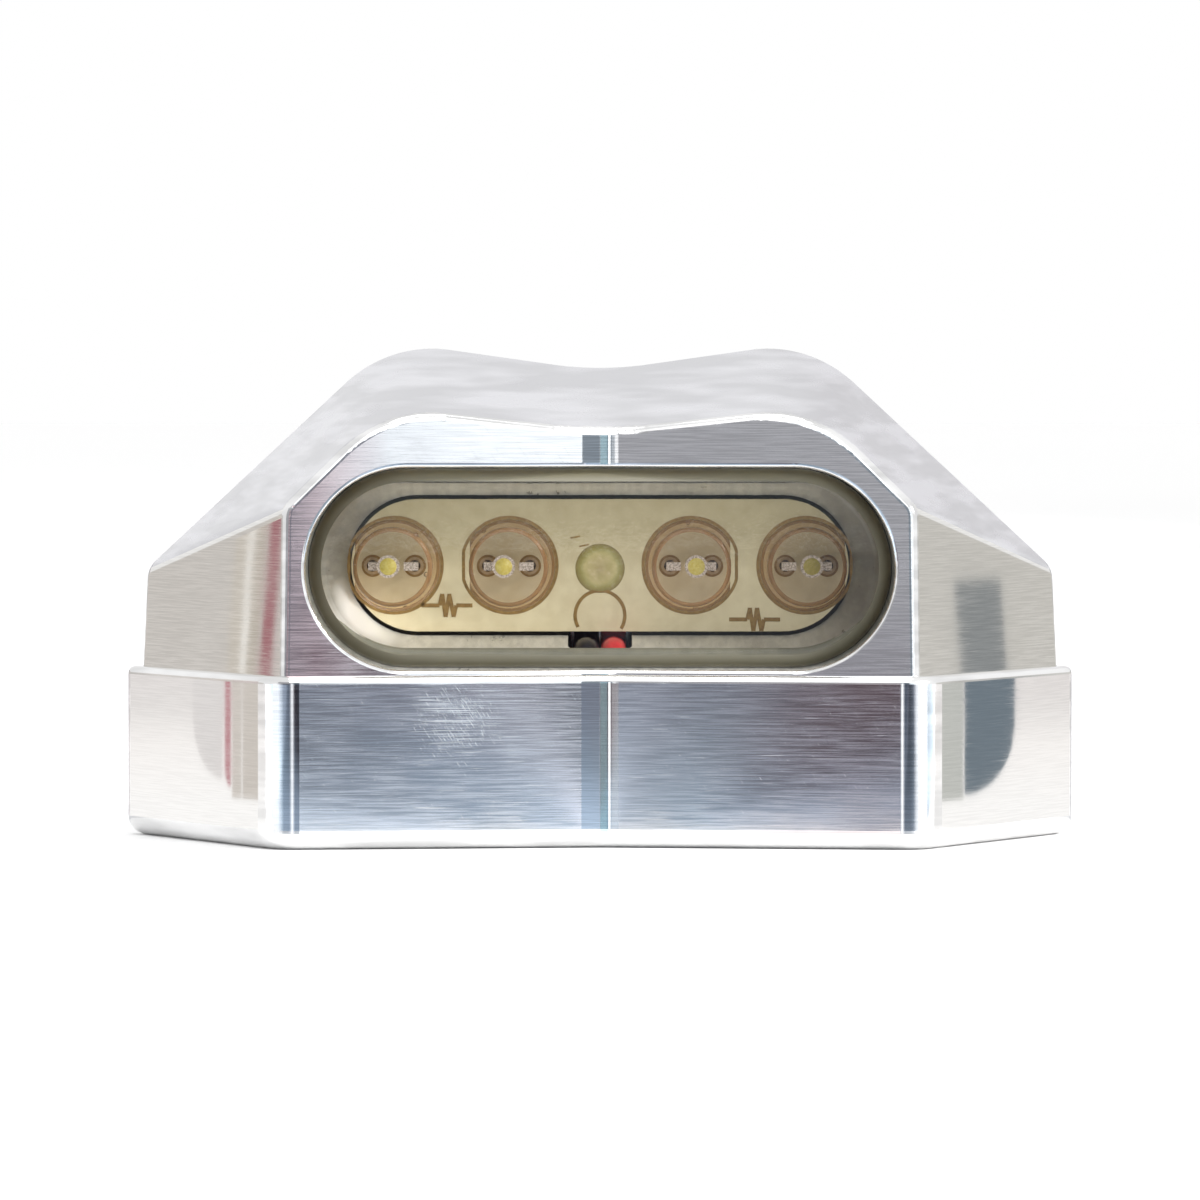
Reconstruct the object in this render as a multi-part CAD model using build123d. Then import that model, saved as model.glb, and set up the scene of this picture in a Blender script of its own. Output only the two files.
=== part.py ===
from build123d import *
from math import cos, hypot, radians, sin, sqrt, tan
import os

# A number plate lamp that stands on its mounting face, with its window towards -Y.
# Millimetres, +Z up. The origin is the middle of the mounting face.

# Light-emitting diodes, two pairs in one row
led_flange_diameter = 5.8
led_flange_thickness = 1.0
led_flat_depth = 0.45
led_body_diameter = 4.8
led_height = 4.8
led_top_radius = 0.5
led_gap = 1.4             # between the flanges of a pair
middle_gap = 5.6          # between the flanges of the two inner diodes
lead_size = 0.5
lead_pitch = 2.54
lead_tail = 1.2           # how far a lead stands out behind the board
lead_rise = 2.6           # from the board to the rim of the cup
cup_diameter = 1.4
cup_depth = 0.35
cup_floor = 0.5
cup_offset = 0.3          # from the diode's axis towards its flat
phosphor_diameter = 1.05
phosphor_crown = 0.15
anode_gap = 0.25          # between the anode's arm and the cup

# Circuit board and what is soldered to its back
board_edge = 0.25         # from the flat of an outer flange to the board's end
board_height = 8.3
board_thickness = 1.6
board_fit = 0.25          # gap round the board
hole_clearance = 0.1      # round a lead or a core in its hole
plug_diameter = 3.1
plug_crown = 0.15
plug_drop = 0.2           # below the row of diodes
resistor_length = 3.2
resistor_width = 1.6
resistor_thickness = 0.6
resistor_edge_radius = 0.08
resistor_clearance = 0.25 # between a resistor and the pocket's lower wall
solder_radius = 0.7
solder_height = 0.9
solder_wall = 0.08        # round the lead at the tip of a joint

# Lens, its seat and the well that narrows from there to the board
end_taper = 1.5           # how much the well narrows at each end
edge_taper = 1.05         # how much it narrows at the top and at the bottom
lens_shoulder = 0.8
lens_fit = 0.1
lens_setback = 0.1        # behind the front, at the top of the window
lens_thickness = 2.3
lens_edge_radius = 1.1
seal_thickness = 0.4
led_clearance = 0.3
window_sill = 0.3         # face left between the window and the plinth
window_rim_radius = 0.26

# Pocket behind the board
shelf = 0.7               # ledge that carries the board, above and below
solder_room = 0.25        # from the last solder joint to the pocket's end
rear_room = 2.8
back_wall = 2.0

# Plinth
base_height = 10.7
front_recess = 2.6        # how far the middle of the front stands back from its corners
cheek = 2.05              # from the window's end to the plinth's front corner
flare = 10.68             # how far each side runs out towards the back
crease_radius = 9.0
front_corner_radius = 2.6
rear_corner_radius = 1.3
base_bottom_radius = 1.2
base_top_radius = 0.5

# Hood
front_ledge = 0.6
side_ledge = 0.96
back_ledge = 0.6
front_draft = 4.0         # degrees
side_draft = 2.5          # degrees
roof_wall = 1.85          # over the middle of the window, square to the roof
slope_wall = 1.91         # over the window's round ends
roof_rise = 15.3          # degrees, front to back
dip_slope = 7.8           # degrees, from the middle up to the humps
dip_radius = 22.0
hump_radius = 8.2
outer_slope = 42.0        # degrees, from the humps down to the shoulders
shoulder_radius = 1.6
hood_edge_radius = 0.62

# Wires, and the slot in the base that they leave by
wire_diameter = 1.6
wire_core_diameter = 0.6
wire_gap = 0.1
wire_clearance = 0.35     # between the wires and the slot's walls
wire_bend = 1.2
sleeve_tail = 0.2         # straight sleeve after its last bend
core_bend = 0.6
wire_joint_rise = 1.2     # the wires' joints, above the board's lower edge
grommet_recess = 0.5
grommet_height = 4.0
grommet_fit = 0.05
wire_grip = 2.5           # how far a wire goes into the grommet

# Fixing holes, tapped M5 and drawn at the tapping size
fixing_spacing = 40.0
fixing_diameter = 4.2
fixing_depth = 8.5

# Places along X
led_pitch = led_flange_diameter + led_gap
inner_led_x = (middle_gap + led_flange_diameter) / 2
outer_led_x = inner_led_x + led_pitch
led_places = [-outer_led_x, -inner_led_x, inner_led_x, outer_led_x]
resistor_x = (inner_led_x + outer_led_x) / 2
wire_x = (wire_diameter + wire_gap) / 2
board_length = 2 * (outer_led_x + led_flange_diameter / 2 - led_flat_depth + board_edge)
pocket_length = board_length + 2 * board_fit
pocket_height = board_height + 2 * board_fit
well_length = pocket_length + 2 * end_taper
well_height = pocket_height + 2 * edge_taper
window_length = well_length + 2 * lens_shoulder
window_height = well_height + 2 * lens_shoulder
rear_length = 2 * (outer_led_x + lead_pitch / 2 + solder_radius + solder_room)
rear_height = board_height - 2 * shelf
front_half = window_length / 2 + cheek
back_half = front_half + flare
slot_width = 2 * (wire_x + wire_diameter / 2 + wire_clearance)

# Places along Y: the lamp's depth is the sum of what it holds
front_lean = (window_sill + window_height) * tan(radians(front_draft))
hood_depth = (
    front_recess + front_lean + lens_setback + lens_thickness + seal_thickness
    + led_clearance + led_height + board_thickness + rear_room + back_wall
)
base_depth = front_ledge + hood_depth + back_ledge
front_y = -base_depth / 2
back_y = base_depth / 2
crease_y = front_y + front_ledge + front_recess
lens_front_y = crease_y + front_lean + lens_setback
lens_back_y = lens_front_y + lens_thickness
shoulder_y = lens_back_y + seal_thickness
board_front_y = shoulder_y + led_clearance + led_height
board_back_y = board_front_y + board_thickness
rear_floor_y = board_back_y + rear_room
wire_front_y = (shoulder_y + board_front_y) / 2
wire_rear_y = board_back_y + rear_room / 2

# Places along Z
axis_z = base_height + window_sill + window_height / 2
board_bottom_z = axis_z - board_height / 2
run_z = board_bottom_z - wire_clearance - wire_diameter / 2
wire_joint_z = board_bottom_z + wire_joint_rise
plug_z = axis_z - plug_drop
resistor_z = board_bottom_z + shelf + resistor_clearance + resistor_width / 2
grommet_top_z = grommet_recess + grommet_height

# Slope of the walls, seen from above
recess_slope = front_recess / front_half
flare_slope = flare / base_depth


def facing_front(x, y, z):
    """A plane at a point, square to the window's axis, that looks out to the front."""
    return Plane(origin=(x, y, z), x_dir=(1, 0, 0), z_dir=(0, -1, 0))


def obround_block(length, height, front, back):
    """A straight block of the window's shape between two places along Y."""
    outline = facing_front(0, back, axis_z) * SlotOverall(length, height)
    return extrude(outline, back - front)


def plan(front_in, side_in, back_in):
    """The lamp's outline from above, with each wall set in by its own amount."""
    crease = front_y + front_recess + front_in * hypot(1, recess_slope)
    side = front_half - side_in * hypot(1, flare_slope)
    corner_x = (side + flare_slope * (crease - front_y)) / (1 + flare_slope * recess_slope)
    corner_y = crease - recess_slope * corner_x
    rear_y = back_y - back_in
    rear_x = side + flare_slope * (rear_y - front_y)
    outline = Polyline(
        (0, crease), (corner_x, corner_y), (rear_x, rear_y),
        (-rear_x, rear_y), (-corner_x, corner_y), close=True,
    )
    return make_face(outline)


def plinth():
    """The block that meets the mounting surface."""
    block = extrude(plan(0, 0, 0), base_height)
    # From the front: two corners, the crease in the middle, two corners at the back
    block = fillet(block.edges().filter_by(Axis.Z).sort_by(Axis.Y)[-2:], rear_corner_radius)
    block = fillet(block.edges().filter_by(Axis.Z).sort_by(Axis.Y)[2], crease_radius)
    block = fillet(block.edges().filter_by(Axis.Z).sort_by(Axis.Y)[:2], front_corner_radius)
    block = fillet(block.faces().sort_by(Axis.Z)[0].edges(), base_bottom_radius)
    return fillet(block.faces().sort_by(Axis.Z)[-1].edges(), base_top_radius)


def roof_prism():
    """Everything under the roof: its profile, drawn square to the roof, carried along its rise."""
    inner_rise = tan(radians(dip_slope))
    outer_fall = tan(radians(outer_slope))
    dip = window_height / 2 + roof_wall
    slope_reach = window_height / 2 + slope_wall
    sharp_dip = dip - dip_radius * (1 / cos(radians(dip_slope)) - 1)
    # The outer slope keeps its wall from the round end of the window
    end_x = (window_length - window_height) / 2
    slope_at_middle = slope_reach / cos(radians(outer_slope)) + outer_fall * end_x
    hump_x = (slope_at_middle - sharp_dip) / (inner_rise + outer_fall)
    hump = sharp_dip + inner_rise * hump_x
    skirt_x = back_half + cheek
    skirt = slope_at_middle - outer_fall * skirt_x
    floor = skirt - 2 * axis_z
    outline = Polyline(
        (0, sharp_dip), (hump_x, hump), (skirt_x, skirt), (skirt_x, floor),
        (-skirt_x, floor), (-skirt_x, skirt), (-hump_x, hump), close=True,
    )
    profile = make_face(outline)
    profile = fillet(profile.vertices().sort_by(Axis.Y)[-2:], hump_radius)
    middle = profile.vertices().filter_by(lambda v: v.Y > 0).sort_by(lambda v: abs(v.X))[0]
    profile = fillet(middle, dip_radius)
    rise = Vector(0, cos(radians(roof_rise)), sin(radians(roof_rise)))
    start = Vector(0, crease_y, axis_z) - rise * base_depth
    return extrude(Plane(start, x_dir=(1, 0, 0), z_dir=-rise) * profile, -3 * base_depth)


def hood():
    """The body over the plinth, drafted at the front and sides, with its edges rounded."""
    foot = Plane.XY.offset(base_height)
    block = extrude(foot * plan(front_ledge, side_ledge, back_ledge), 3 * window_height)
    block = draft(block.faces().filter_by(lambda f: f.normal_at().Y < -0.9), foot, front_draft)
    block = draft(block.faces().filter_by(lambda f: abs(f.normal_at().X) > 0.5), foot, side_draft)
    crease = block.edges().filter_by(lambda e: e.bounding_box().size.Z > window_height)
    block = fillet(crease.sort_by(lambda e: abs(e.center().X))[0], crease_radius)
    block = block & roof_prism()
    raised = block.edges().filter_by(lambda e: e.center().Z > base_height + window_sill)
    lengthways = raised.filter_by(lambda e: e.bounding_box().size.Y > base_depth / 2)
    block = fillet(lengthways.sort_by(lambda e: abs(e.center().X))[-2:], shoulder_radius)
    raised = block.edges().filter_by(lambda e: e.center().Z > base_height + window_sill)
    crosswise = raised.filter_by(lambda e: e.bounding_box().size.Y < base_depth / 2)
    rim = crosswise.filter_by(
        lambda e: abs(e.center().X) > crease_radius or e.bounding_box().size.Z < window_height / 2
    )
    block = fillet(rim, hood_edge_radius)
    return block


def window_rim(block):
    """The edges where the window opens in the front."""
    reach_x = window_length / 2 + window_sill / 2
    reach_z = (window_height + window_sill) / 2
    near = block.edges().filter_by(lambda e: e.center().Y < lens_front_y)
    return near.filter_by(
        lambda e: abs(e.center().X) < reach_x and abs(e.center().Z - axis_z) < reach_z
    )


def lens_well():
    """The well that narrows from the lens seat to the board."""
    mouth = facing_front(0, shoulder_y, axis_z) * SlotOverall(well_length, well_height)
    foot = facing_front(0, board_front_y, axis_z) * SlotOverall(pocket_length, pocket_height)
    return loft([mouth, foot], ruled=True)


def slot_outline(margin):
    """The cable slot seen from below, a margin smaller all round."""
    front = wire_front_y - slot_width / 2
    back = wire_rear_y + slot_width / 2
    outline = SlotOverall(back - front - 2 * margin, slot_width - 2 * margin, rotation=90)
    return Pos(0, (front + back) / 2) * outline


def fixing_hole(x):
    """A blind drilled hole, with the cone that a drill leaves at its end."""
    radius = fixing_diameter / 2
    drill_point = radius * tan(radians(30))
    bore = Pos(x, 0, 0) * Cylinder(radius, fixing_depth, align=(Align.CENTER, Align.CENTER, Align.MIN))
    tip = Cone(radius, 0, drill_point, align=(Align.CENTER, Align.CENTER, Align.MIN))
    return bore + Pos(x, 0, fixing_depth) * tip


def make_housing():
    """Plinth and hood in one piece of aluminium, with everything that is cut into it."""
    block = hood() - obround_block(window_length, window_height, front_y, shoulder_y)
    block = fillet(window_rim(block), min(window_rim_radius, 0.9 * window_sill))
    block = plinth() + block
    block = block - lens_well()
    block = block - obround_block(pocket_length, pocket_height, board_front_y, board_back_y)
    block = block - obround_block(rear_length, rear_height, board_back_y, rear_floor_y)
    block = block - extrude(slot_outline(0), wire_joint_z)
    for x in (-fixing_spacing / 2, fixing_spacing / 2):
        block = block - fixing_hole(x)
    return block


def make_lens():
    """The clear window pane, with its front edge rounded."""
    pane = obround_block(
        window_length - 2 * lens_fit, window_height - 2 * lens_fit, lens_front_y, lens_back_y
    )
    return fillet(pane.faces().sort_by(Axis.Y)[0].edges(), lens_edge_radius)


def make_lens_seal():
    """The ring of bonding compound between the lens and its shoulder."""
    ring = obround_block(
        window_length - 2 * lens_fit, window_height - 2 * lens_fit, lens_back_y, shoulder_y
    )
    return ring - obround_block(well_length, well_height, lens_back_y, shoulder_y)


def through_board(x, z, diameter):
    """A round cut or peg straight through the board."""
    disc = facing_front(x, board_back_y, z) * Circle(diameter / 2)
    return extrude(disc, board_thickness)


def make_circuit_board():
    """The board, drilled for the leads and the resin plug."""
    board = obround_block(board_length, board_height, board_front_y, board_back_y)
    lead_hole = lead_size * sqrt(2) + 2 * hole_clearance
    for x in led_places:
        for side in (-1, 1):
            board = board - through_board(x + side * lead_pitch / 2, axis_z, lead_hole)
    return board - through_board(0, plug_z, plug_diameter)


def make_resin_plug():
    """The resin that fills the middle hole and ties the board to the pocket's floor."""
    length = board_thickness + rear_room
    post = extrude(facing_front(0, rear_floor_y, plug_z) * Circle(plug_diameter / 2), length)
    return post + facing_front(0, board_front_y, plug_z) * crown(plug_diameter / 2, plug_crown)


def crown(radius, height):
    """A shallow dome that stands on the XY plane."""
    ball_radius = (radius**2 + height**2) / (2 * height)
    ball = Pos(0, 0, height - ball_radius) * Sphere(ball_radius)
    return ball & Cylinder(radius, height, align=(Align.CENTER, Align.CENTER, Align.MIN))


def upright_box(x_from, x_to, z_from, z_to):
    """A bar as deep as a lead, between two places across and two along a diode's axis."""
    bar = Box(abs(x_to - x_from), lead_size, z_to - z_from)
    return Pos((x_from + x_to) / 2, 0, (z_from + z_to) / 2) * bar


# Each diode is drawn upright on its own plane: +Z out to the front, the board at zero.
# Its flat and its cathode lie on the side given by out, -1 or 1.
lead_end = -board_thickness - lead_tail
arm_top = lead_rise - cup_depth
arm_bottom = arm_top - lead_size


def draw_cathode(out):
    """The lead that carries the cup: tail, arm and cup in one stamping."""
    outside = out * (lead_pitch + lead_size) / 2
    inside = out * (lead_pitch - lead_size) / 2
    lead = upright_box(inside, outside, lead_end, arm_top)
    lead = lead + upright_box(out * cup_offset, outside, arm_bottom, arm_top)
    cup_height = cup_floor + cup_depth
    cup = Cylinder(cup_diameter / 2, cup_height, align=(Align.CENTER, Align.CENTER, Align.MAX))
    lead = lead + Pos(out * cup_offset, 0, lead_rise) * cup
    return lead - draw_phosphor(out)


def draw_anode(out):
    """The other lead: a tail and a short arm that stops before the cup."""
    outside = -out * (lead_pitch + lead_size) / 2
    inside = -out * (lead_pitch - lead_size) / 2
    tip = -out * (cup_diameter / 2 + anode_gap - cup_offset)
    lead = upright_box(inside, outside, lead_end, arm_top)
    return lead + upright_box(tip, outside, arm_bottom, arm_top)


def draw_phosphor(out):
    """The yellow fill of the cup, a little crowned."""
    fill = Cylinder(phosphor_diameter / 2, cup_depth, align=(Align.CENTER, Align.CENTER, Align.MAX))
    dome = crown(phosphor_diameter / 2, phosphor_crown)
    return Pos(out * cup_offset, 0, lead_rise) * (fill + dome)


def draw_led_body(out):
    """The clear resin body, cast round its leads, with a flat on its flange."""
    upright = (Align.CENTER, Align.CENTER, Align.MIN)
    flange = Cylinder(led_flange_diameter / 2, led_flange_thickness, align=upright)
    flat_x = led_flange_diameter / 2 - led_flat_depth
    keep = Box(led_flange_diameter, led_flange_diameter, led_flange_thickness, align=upright)
    flange = flange & Pos(out * (flat_x - led_flange_diameter / 2), 0, 0) * keep
    body = Cylinder(led_body_diameter / 2, led_height, align=upright)
    body = fillet(body.edges().sort_by(Axis.Z)[-1], led_top_radius)
    body = flange + body
    return body - draw_cathode(out) - draw_anode(out) - draw_phosphor(out)


def solder_joint(x, z, inside):
    """A cone of solder on the back of the board, round the lead or wire that it holds."""
    tip_radius = lead_size / sqrt(2) + solder_wall
    cone = Cone(solder_radius, tip_radius, solder_height, align=(Align.CENTER, Align.CENTER, Align.MIN))
    back = Plane(origin=(x, board_back_y, z), x_dir=(1, 0, 0), z_dir=(0, 1, 0))
    return back * cone - inside


def make_resistor(x):
    """A chip resistor, flat on the back of the board."""
    chip = Box(resistor_length, resistor_thickness, resistor_width)
    chip = fillet(chip.edges(), resistor_edge_radius)
    return Pos(x, board_back_y + resistor_thickness / 2, resistor_z) * chip


def make_wire(x):
    """The sleeve and the core of one wire, from the grommet under the board to its back."""
    foot_z = grommet_top_z - wire_grip
    sleeve_points = [
        (x, wire_front_y, foot_z), (x, wire_front_y, run_z),
        (x, wire_rear_y, run_z), (x, wire_rear_y, run_z + wire_bend + sleeve_tail),
    ]
    core_points = sleeve_points[:3] + [(x, wire_rear_y, wire_joint_z), (x, board_back_y, wire_joint_z)]
    sleeve_path = FilletPolyline(*sleeve_points, radius=wire_bend)
    core_path = FilletPolyline(*core_points, radius=[wire_bend, wire_bend, core_bend])
    start = Plane(origin=sleeve_points[0])
    sleeve = sweep(start * Circle(wire_diameter / 2), sleeve_path)
    core = sweep(start * Circle(wire_core_diameter / 2), core_path)
    return sleeve - core, core


def make_grommet():
    """The rubber plug that closes the cable slot, with a blind hole for each wire."""
    plug = extrude(Pos(0, 0, grommet_recess) * slot_outline(grommet_fit), grommet_height)
    socket = Cylinder(wire_diameter / 2, wire_grip, align=(Align.CENTER, Align.CENTER, Align.MAX))
    for x in (-wire_x, wire_x):
        plug = plug - Pos(x, wire_front_y, grommet_top_z) * socket
    return plug


pieces = {
    "housing": make_housing(),
    "lens": make_lens(),
    "lens_seal": make_lens_seal(),
    "circuit_board": make_circuit_board(),
    "board_resin_plug": make_resin_plug(),
    "resistor_1": make_resistor(-resistor_x),
    "resistor_2": make_resistor(resistor_x),
    "cable_grommet": make_grommet(),
}
joints = []
for number, x in enumerate(led_places, start=1):
    out = 1 if x > 0 else -1
    place = facing_front(x, board_front_y, axis_z)
    cathode = place * draw_cathode(out)
    anode = place * draw_anode(out)
    pieces[f"led_body_{number}"] = place * draw_led_body(out)
    pieces[f"led_cathode_{number}"] = cathode
    pieces[f"led_anode_{number}"] = anode
    pieces[f"led_phosphor_{number}"] = place * draw_phosphor(out)
    joints.append(solder_joint(x + out * lead_pitch / 2, axis_z, cathode))
    joints.append(solder_joint(x - out * lead_pitch / 2, axis_z, anode))
for colour, x in (("black", -wire_x), ("red", wire_x)):
    sleeve, core = make_wire(x)
    pieces[f"{colour}_wire_sleeve"] = sleeve
    pieces[f"{colour}_wire_core"] = core
    joints.append(solder_joint(x, wire_joint_z, core))
pieces["solder_joints"] = Compound(children=[joint.solid() for joint in joints])

os.makedirs("parts", exist_ok=True)
for name, piece in pieces.items():
    export_step(piece, f"parts/{name}.step")
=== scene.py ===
import math

import bmesh
import bpy
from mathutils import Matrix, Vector


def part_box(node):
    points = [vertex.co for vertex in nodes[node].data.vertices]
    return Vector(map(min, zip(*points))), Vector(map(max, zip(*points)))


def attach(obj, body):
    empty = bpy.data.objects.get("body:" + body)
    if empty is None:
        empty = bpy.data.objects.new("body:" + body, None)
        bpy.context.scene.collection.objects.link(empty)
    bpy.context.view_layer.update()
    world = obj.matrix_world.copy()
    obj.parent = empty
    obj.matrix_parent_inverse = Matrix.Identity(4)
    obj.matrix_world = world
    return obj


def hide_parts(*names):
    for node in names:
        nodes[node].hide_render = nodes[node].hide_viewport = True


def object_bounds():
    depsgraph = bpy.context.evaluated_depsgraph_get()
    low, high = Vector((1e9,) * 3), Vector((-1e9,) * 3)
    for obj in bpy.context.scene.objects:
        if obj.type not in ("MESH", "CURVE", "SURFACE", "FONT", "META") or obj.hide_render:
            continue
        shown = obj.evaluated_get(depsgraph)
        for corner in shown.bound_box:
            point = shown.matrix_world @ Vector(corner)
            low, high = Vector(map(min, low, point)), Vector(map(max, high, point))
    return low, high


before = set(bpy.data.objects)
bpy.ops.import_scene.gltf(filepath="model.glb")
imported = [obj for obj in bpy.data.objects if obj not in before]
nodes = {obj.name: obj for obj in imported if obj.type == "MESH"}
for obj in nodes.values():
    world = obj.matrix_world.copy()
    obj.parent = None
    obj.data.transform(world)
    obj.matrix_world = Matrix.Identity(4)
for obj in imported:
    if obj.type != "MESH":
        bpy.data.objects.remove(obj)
cad_low, cad_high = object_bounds()


# Housing: one milled block of aluminium. Its flat faces are ground along their length, its roof is
# buffed, its edges are rounded and polished by hand, and the pocket inside is left as it was milled.
# The pocket, the crease and the front corners also carry painted shade and painted highlights, set below.
mm = 0.001
lens_low, lens_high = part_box("lens")
board_low, board_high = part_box("circuit_board")
board_front = board_low.y
axis_z = (board_low.z + board_high.z) / 2
lens_clearance = 0.11 * mm
window_radius = (lens_high.z - lens_low.z) / 2 + lens_clearance
window_half_straight = (lens_high.x - lens_low.x) / 2 + lens_clearance - window_radius
front_margin = 2 * mm
back_margin = 1.5 * mm
base_skin = 0.05 * mm
plinth_top = 10.7 * mm
crease_half = 1.25 * mm
corner_start = 18.4 * mm
hole_half_spacing = 20 * mm
hole_radius = 2.15 * mm
thread_pitch = 0.8 * mm
thread_depth = 0.4 * mm
scuffed_spot = (-8.8 * mm, cad_low.y + 1.6 * mm, 8.0 * mm)
# Where the well's painted highlight sits, low at one end
painted_highlight_spot = (-15.8 * mm, board_front - 1.5 * mm, axis_z - 4.2 * mm)


def start_material(name):
    """A new node material, its nodes and its shader."""
    material = bpy.data.materials.new(name)
    material.use_nodes = True
    return material, material.node_tree, material.node_tree.nodes["Principled BSDF"]


def add_node(tree, kind, sockets=None, **settings):
    """A node with its settings, and with plain values or links on its sockets."""
    node = tree.nodes.new(kind)
    for key, value in settings.items():
        setattr(node, key, value)
    for key, value in (sockets or {}).items():
        if isinstance(value, bpy.types.NodeSocket):
            tree.links.new(value, node.inputs[key])
        else:
            node.inputs[key].default_value = value
    return node


def place_on(tree):
    """The place of a point on the piece, in the lamp's frame."""
    return add_node(tree, "ShaderNodeTexCoord").outputs["Object"]


def distance_from(tree, spot):
    """How far a point on the piece is from a spot."""
    sockets = {0: place_on(tree), 1: spot}
    return add_node(tree, "ShaderNodeVectorMath", sockets, operation="DISTANCE").outputs["Value"]


def calc(tree, operation, first, second=0.0):
    """One sum with two numbers."""
    return add_node(tree, "ShaderNodeMath", {0: first, 1: second}, operation=operation).outputs["Value"]


def tinted(tree, colour, tint):
    """A colour times a tint."""
    return add_node(tree, "ShaderNodeVectorMath", {0: colour, 1: tint}, operation="MULTIPLY").outputs["Vector"]


def mapped(tree, value, start, end, low=0.0, high=1.0):
    """A value carried over from the span of start to end to that of low to high, and held inside it."""
    sockets = {"Value": value, "From Min": start, "From Max": end, "To Min": low, "To Max": high}
    return add_node(tree, "ShaderNodeMapRange", sockets).outputs["Result"]


def spread(tree, noise, low, high):
    """Noise, mostly between 0.3 and 0.7, carried over to the span from low to high."""
    return mapped(tree, noise, 0.3, 0.7, low, high)


def grain(tree, lengths, detail=3.0, roughness=0.55, lean=(0.0, 0.0, 0.0)):
    """Noise whose spots are about as long as lengths says, along X, Y and Z, before they lean."""
    leaning = add_node(tree, "ShaderNodeMapping", {"Vector": place_on(tree), "Rotation": lean})
    scale = [1 / length for length in lengths]
    stretched = add_node(tree, "ShaderNodeMapping", {"Vector": leaning.outputs["Vector"], "Scale": scale})
    sockets = {"Vector": stretched.outputs["Vector"], "Scale": 1.0, "Detail": detail, "Roughness": roughness}
    return add_node(tree, "ShaderNodeTexNoise", sockets).outputs["Fac"]


def ramp(tree, factor, stops):
    """A colour ramp from (place, colour) stops."""
    node = add_node(tree, "ShaderNodeValToRGB", {"Fac": factor})
    while len(node.color_ramp.elements) < len(stops):
        node.color_ramp.elements.new(0.5)
    for element, (place, colour) in zip(node.color_ramp.elements, stops):
        element.position = place
        element.color = (*colour, 1.0)
    return node.outputs["Color"]


def raised(tree, height, depth, below=None):
    """A bump of the given depth in metres, over the one below it."""
    sockets = {"Height": height, "Strength": 1.0, "Distance": depth}
    if below is not None:
        sockets["Normal"] = below
    return add_node(tree, "ShaderNodeBump", sockets).outputs["Normal"]


def aluminium(name, colour, gloss, grain_lengths, grain_depth, wave_depth, ground=0.0, scuffs=0.0, tone=0.8):
    """Bare aluminium: a ground or buffed grain over the slight waves that a hand-held wheel leaves."""
    material, tree, shader = start_material(name)
    lines = grain(tree, grain_lengths, detail=2.0, roughness=0.6)
    waves = grain(tree, (7 * mm, 7 * mm, 7 * mm), detail=1.0)
    clouds = grain(tree, (4 * mm, 4 * mm, 2.5 * mm), detail=3.0)
    dark = [tone * channel for channel in colour]
    tree.links.new(ramp(tree, lines, [(0.4, dark), (0.6, colour)]), shader.inputs["Base Color"])
    shader.inputs["Metallic"].default_value = 1.0
    rough = calc(tree, "MULTIPLY", spread(tree, lines, *gloss), spread(tree, clouds, 0.8, 1.2))
    normal = raised(tree, lines, grain_depth, raised(tree, waves, wave_depth))
    if scuffs:
        across = grain(tree, (0.05 * mm, 0.05 * mm, 2.5 * mm), detail=2.0, lean=(0.0, 0.6, 0.0))
        along_front = grain(tree, (3 * mm, 3 * mm, 0.05 * mm), detail=1.0)
        rubbed = mapped(tree, distance_from(tree, scuffed_spot), 1.4 * mm, 3.4 * mm, 0.13, 0.0)
        most = calc(tree, "ADD", calc(tree, "MAXIMUM", across, along_front), rubbed)
        marks = mapped(tree, most, 0.68, 0.78, 0.0, scuffs)
        rough = calc(tree, "ADD", rough, marks)
        normal = raised(tree, marks, 0.002 * mm, normal)
    tree.links.new(rough, shader.inputs["Roughness"])
    tree.links.new(normal, shader.inputs["Normal"])
    if ground:
        level = add_node(tree, "ShaderNodeTangent", direction_type="RADIAL", axis="Z")
        tree.links.new(level.outputs["Tangent"], shader.inputs["Tangent"])
        shader.inputs["Anisotropic"].default_value = ground
        shader.inputs["Anisotropic Rotation"].default_value = 0.25
    return material


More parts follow.
